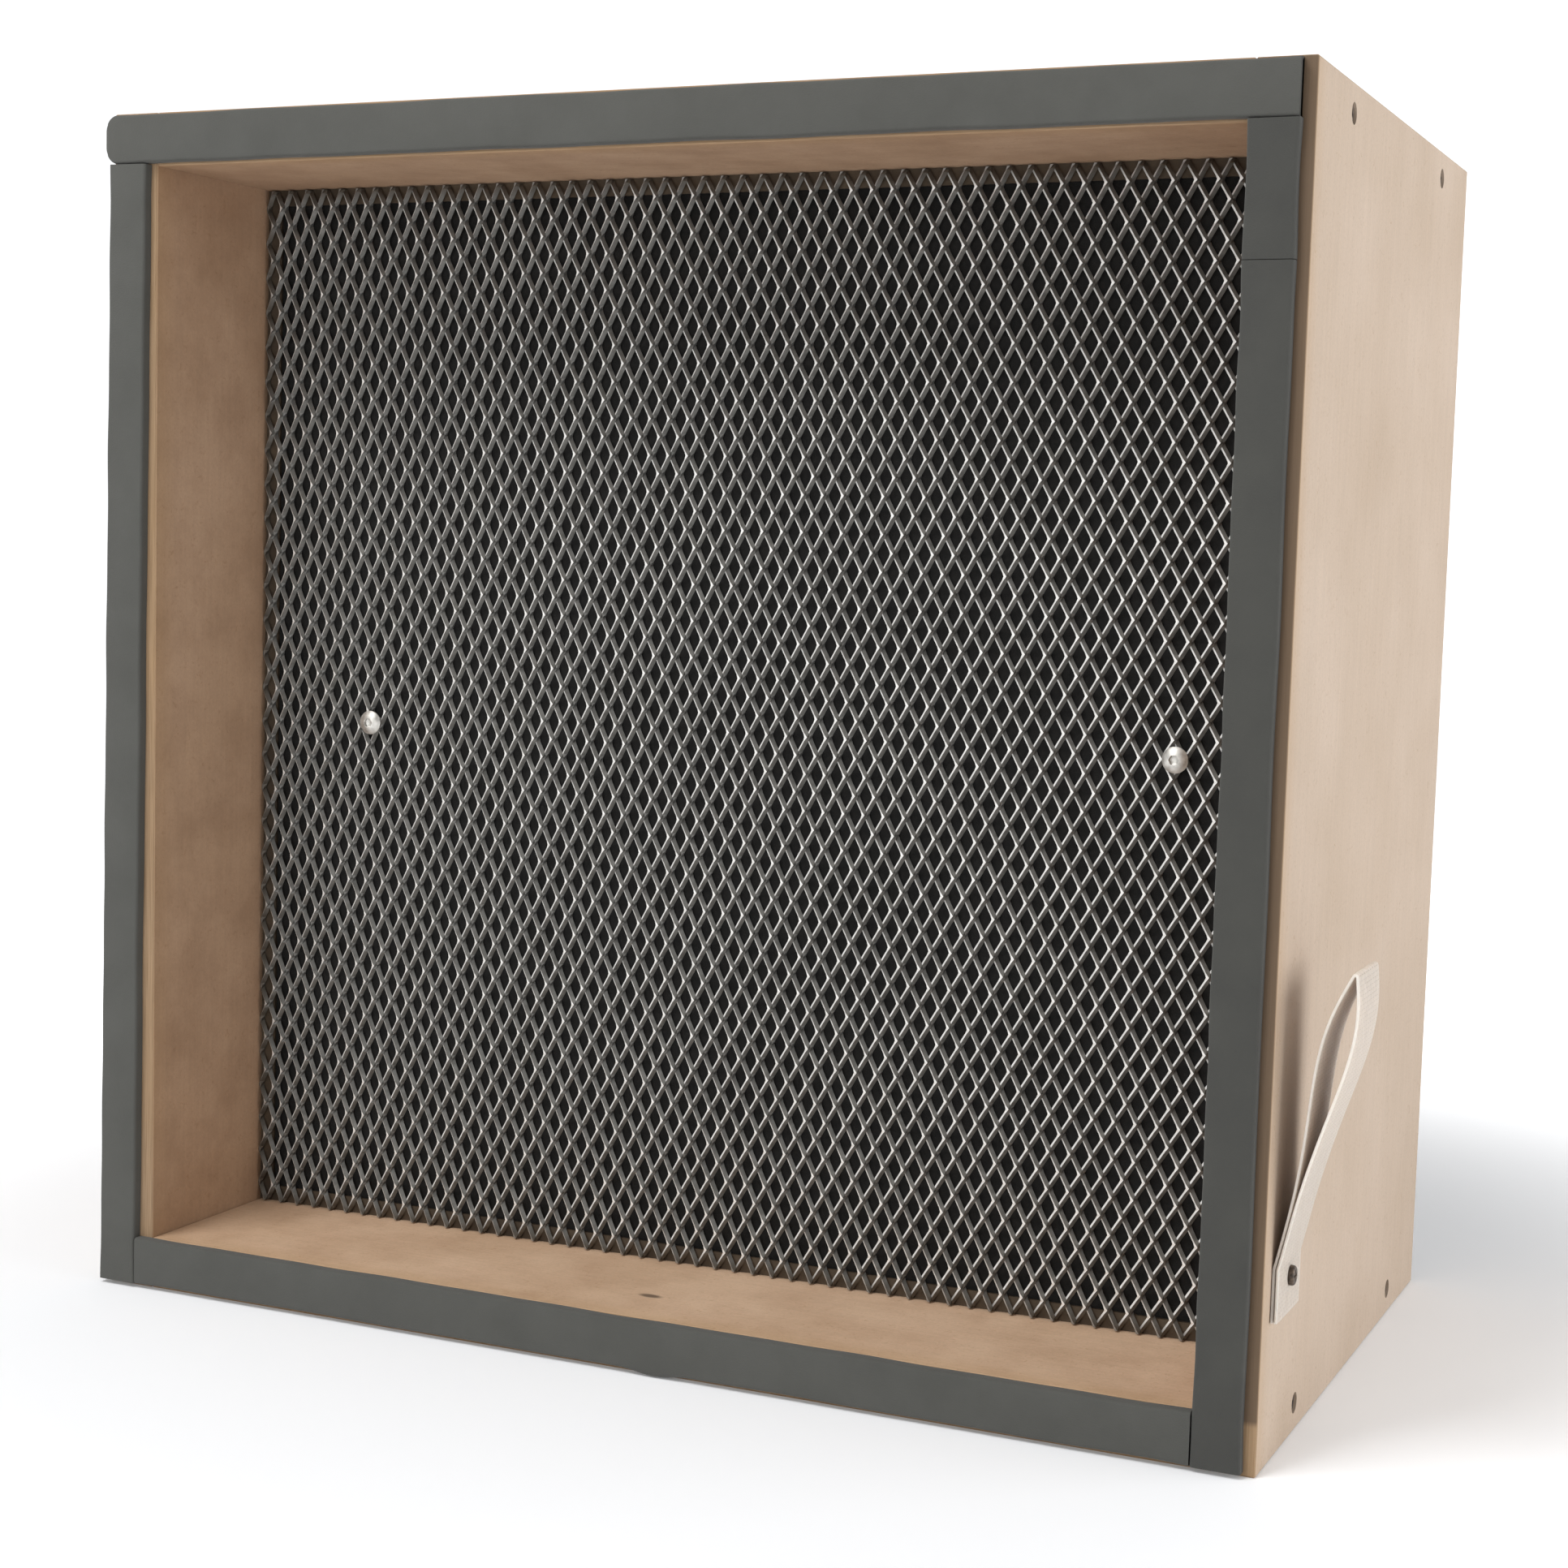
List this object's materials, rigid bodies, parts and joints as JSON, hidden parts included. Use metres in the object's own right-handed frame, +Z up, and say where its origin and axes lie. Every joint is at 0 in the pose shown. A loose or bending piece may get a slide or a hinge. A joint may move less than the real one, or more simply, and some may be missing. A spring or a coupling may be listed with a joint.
{
  "type": "fume extractor filter",
  "caption": "Square fibreboard filter case with raised expanded metal sheets over a carbon bed, a foam gasket round the inlet rim and a webbing pull loop on one side.",
  "frame": {"origin": "middle of the underside of the wooden case, on the surface that the filter stands on", "axes": "+Z up, the inlet side with the gasket faces -Y, the pull loop is on the +X side"},
  "size_m": [0.4653, 0.254, 0.433],
  "materials": {
    "board": "bare medium density fibreboard, sanded faces and sawn edges",
    "batten": "bare fibreboard strip",
    "expanded_steel": "mill galvanised, dull",
    "fleece": "needled fleece, charcoal",
    "carbon": "granulated activated carbon",
    "plated_steel": "zinc plated",
    "dark_steel": "phosphated wood screw",
    "foam": "closed-cell foam tape, matt",
    "webbing": "woven polypropylene webbing"
  },
  "bodies": {
    "root": {"left_side_board": "board", "right_side_board": "board", "top_board": "board", "bottom_board": "board", "front_batten_top": "batten", "front_batten_bottom": "batten", "front_batten_left": "batten", "front_batten_right": "batten", "rear_batten_top": "batten", "rear_batten_bottom": "batten", "rear_batten_left": "batten", "rear_batten_right": "batten", "front_mesh": "expanded_steel", "rear_mesh": "expanded_steel", "front_fleece": "fleece", "rear_fleece": "fleece", "carbon_bed": "carbon", "left_tie_bolt": "plated_steel", "right_tie_bolt": "plated_steel", "tie_washers": "plated_steel", "tie_nuts": "plated_steel", "corner_screws": "dark_steel", "strap_screw": "dark_steel", "gasket_top": "foam", "gasket_left": "foam", "gasket_right_upper": "foam", "gasket_right_lower": "foam", "gasket_bottom": "foam", "pull_strap": "webbing"}
  },
  "joints": []
}
